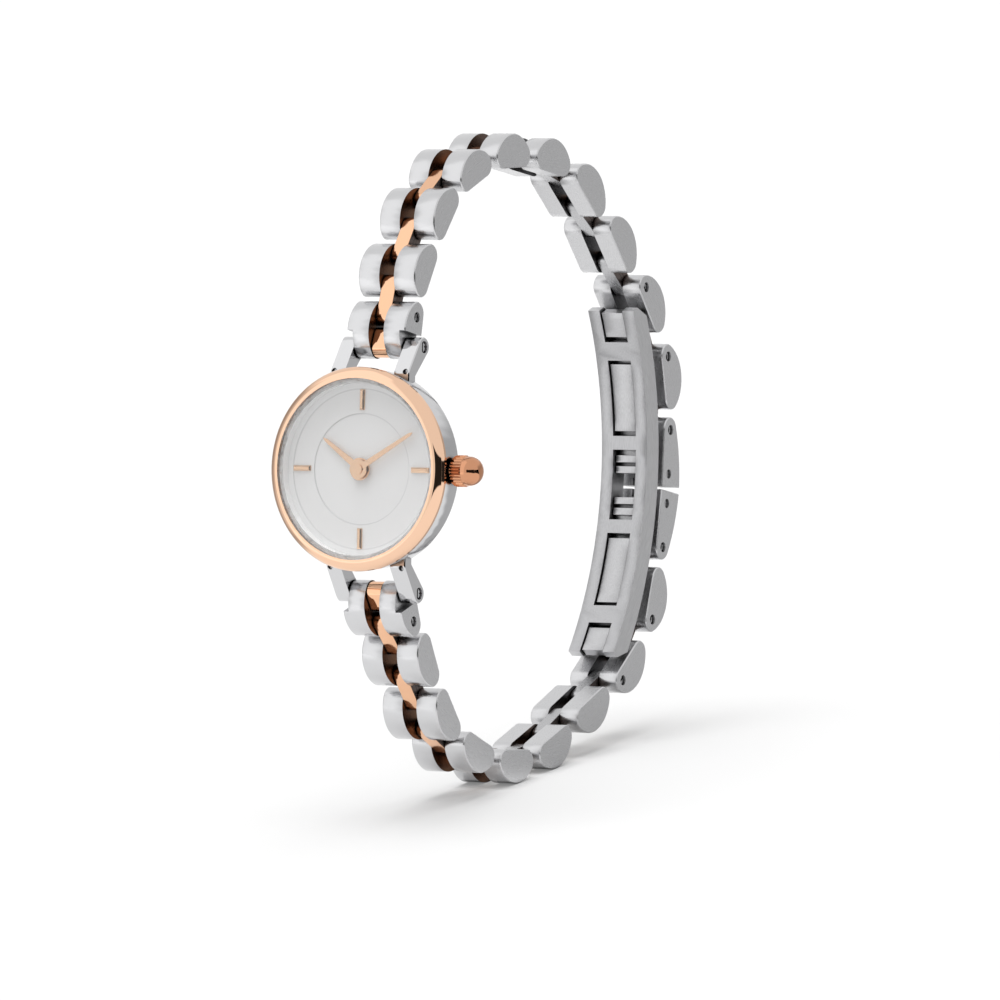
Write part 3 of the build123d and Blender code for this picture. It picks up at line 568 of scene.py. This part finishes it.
def dial_lacquer():
    """White satin dial with a very fine grain, and lines of painted shade at its steps."""
    material, tree, shader = new_material("dial_lacquer")
    shader.inputs["Roughness"].default_value = DIAL_ROUGH
    shader.inputs["Specular IOR Level"].default_value = DIAL_SPECULAR
    noise = noise_over(tree, place_on(tree), DIAL_GRAIN_SCALE, DIAL_GRAIN_DETAIL)
    bump_up(tree, shader, noise, DIAL_GRAIN)
    colour = mix(tree, ramp(tree, noise, *DIAL_GRAIN_RANGE), LACQUER, LACQUER_GRAIN)
    radius = from_dial_axis(tree)
    # Lines of painted shade at the steps.
    for ring in DIAL_RINGS:
        away = calc(tree, "ABSOLUTE", calc(tree, "SUBTRACT", radius, ring))
        step_shade = ramp(tree, away, *DIAL_STEP_SHADE_SPAN, 0.0, DIAL_STEP_SHADE_SHARE)
        colour = mix(tree, step_shade, colour, DIAL_STEP_SHADE)
    tree.links.new(colour, shader.inputs["Base Color"])
    return material


def crystal_glass():
    """Clear glass that lets the lamps through to the dial."""
    material, tree, shader = new_material("crystal_glass")
    shader.inputs["Roughness"].default_value = 0.0
    shader.inputs["IOR"].default_value = GLASS_IOR
    shader.inputs["Transmission Weight"].default_value = 1.0
    clear = add(tree, "BsdfTransparent").outputs[0]
    path = add(tree, "LightPath").outputs
    lets_through = calc(tree, "MAXIMUM", path["Is Shadow Ray"], path["Is Diffuse Ray"])
    glass = mix_shaders(tree, lets_through, shader.outputs[0], clear)
    tree.links.new(glass, tree.nodes["Material Output"].inputs["Surface"])
    return material


def gasket(name, colour):
    """Gasket: rubber at the back, pale nylon under the crystal."""
    material, tree, shader = new_material(name)
    shader.inputs["Base Color"].default_value = colour
    noise = noise_over(tree, place_on(tree), GASKET_SCALE, GASKET_DETAIL)
    rough = ramp(tree, noise, *GRAIN_RANGE, *GASKET_ROUGH)
    tree.links.new(rough, shader.inputs["Roughness"])
    return material


def bezel_gold():
    """Polished rose gold; the flange inside the crystal is silvered."""
    material = polished("polished_bezel", BEZEL_GOLD, BEZEL_GLOSS)
    tree = material.node_tree
    shader = tree.nodes["Principled BSDF"]
    inner = ramp(tree, from_dial_axis(tree), *FLANGE_RANGE)
    tree.links.new(mix(tree, inner, BEZEL_GOLD, SILVERED), shader.inputs["Base Color"])
    tree.links.new(calc(tree, "SUBTRACT", 1.0, inner), shader.inputs["Metallic"])
    return material


def paint(material, *names):
    """Gives CAD nodes a material, in every slot they have."""
    for name in names:
        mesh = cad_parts[name].data
        if not mesh.materials:
            mesh.materials.append(material)
        for slot in range(len(mesh.materials)):
            mesh.materials[slot] = material


def paint_watch():
    """A finish for every CAD node."""
    middle = loop_middle()
    rows = sorted(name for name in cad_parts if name.startswith("row_"))
    links = sorted(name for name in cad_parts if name.startswith("centre_link_"))
    steel = polished("polished_steel", STEEL, STEEL_GLOSS, CREVICE_SHADE_STEEL)
    gold = polished("polished_rose_gold", ROSE_GOLD, GOLD_GLOSS, CREVICE_SHADE_GOLD)
    pale_gold = polished("pale_gold", PALE_GOLD, PALE_GOLD_GLOSS)
    arm_steel = clasp_steel("clasp_arm_steel", middle, ARM_INSIDE_SHADE)
    paint(steel, "case_middle", "lug_screws", "crown_tube", "crown_stem")
    paint(gold, "end_centre_upper", "end_centre_lower")
    # The crown's darker gold is painted shade.
    paint(polished("crown_gold_painted_shade", SHADED_CROWN_GOLD, CROWN_GLOSS, CREVICE_SHADE_GOLD), "crown")
    paint(bezel_gold(), "bezel")
    paint(pale_gold, "hour_markers", "hour_hand", "minute_hand")
    paint(row_steel(middle), *rows)
    paint(link_metal(middle), *links)
    paint(clasp_steel("clasp_base_steel", middle, CLASP_INSIDE_SHADE), "clasp_base")
    paint(arm_steel, "clasp_arm_upper", "clasp_arm_lower")
    paint(case_back_steel(), "case_back")
    paint(dial_lacquer(), "dial")
    paint(crystal_glass(), "crystal")
    paint(gasket("gasket_nylon", NYLON), "crystal_gasket")
    paint(gasket("gasket_rubber", RUBBER), "case_back_gasket")
    paint(polished("movement_brass", BRASS, BRASS_GLOSS), "movement")


def soften_edges():
    """Small rounded edges on the bracelet, the clasp and the case, which catch the light."""
    softened = ("row_", "clasp_", "centre_link_", "case_middle")
    for name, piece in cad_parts.items():
        if name.startswith(softened):
            weld = piece.modifiers.new("weld", "WELD")
            weld.merge_threshold = WELD_DISTANCE
            bevel = piece.modifiers.new("soft_edges", "BEVEL")
            bevel.width = EDGE_WIDTH
            bevel.segments = EDGE_STEPS
            bevel.limit_method = "ANGLE"
            bevel.angle_limit = EDGE_ANGLE
            bevel.harden_normals = True


def main():
    """Builds the scene."""
    bpy.context.scene.view_settings.view_transform = "Standard"
    make_camera()
    make_world()
    make_lamps()
    make_floor()
    paint_watch()
    soften_edges()


main()
